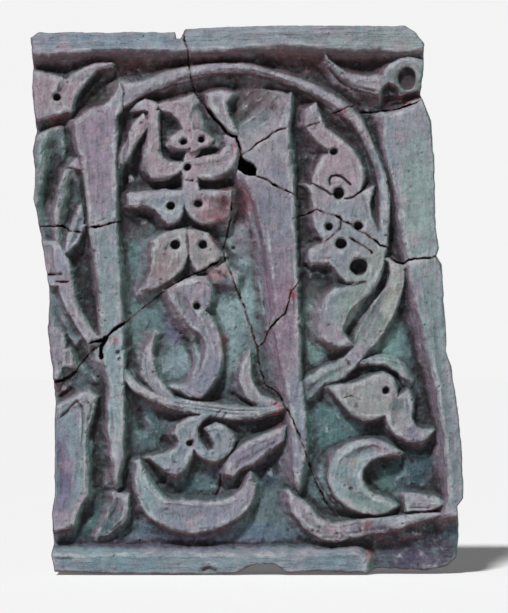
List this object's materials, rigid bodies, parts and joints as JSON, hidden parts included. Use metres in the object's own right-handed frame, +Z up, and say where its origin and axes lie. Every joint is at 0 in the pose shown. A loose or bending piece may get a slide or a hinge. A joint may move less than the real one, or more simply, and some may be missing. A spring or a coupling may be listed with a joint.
{
  "type": "carved tile",
  "caption": "Carved clay tile with two plain bands, tapered uprights, a raised ring, leaves with drilled eyes and plain curved strokes; broken and put together again.",
  "frame": {"origin": "middle of the flat back", "axes": "+Z up, the height of the tile as it hangs; +Y out of the back, so the carved front faces -Y; +X to the right as one looks at the front"},
  "size_m": [0.3145, 0.05, 0.3993],
  "materials": {
    "fired_clay": "unglazed fired clay, matt and rough, grey with a pink and a blue-green cast; dark in the cracks and drilled eyes, dusty red where it is freshly broken"
  },
  "bodies": {
    "root": {"carved_tile": "fired_clay"}
  },
  "joints": []
}
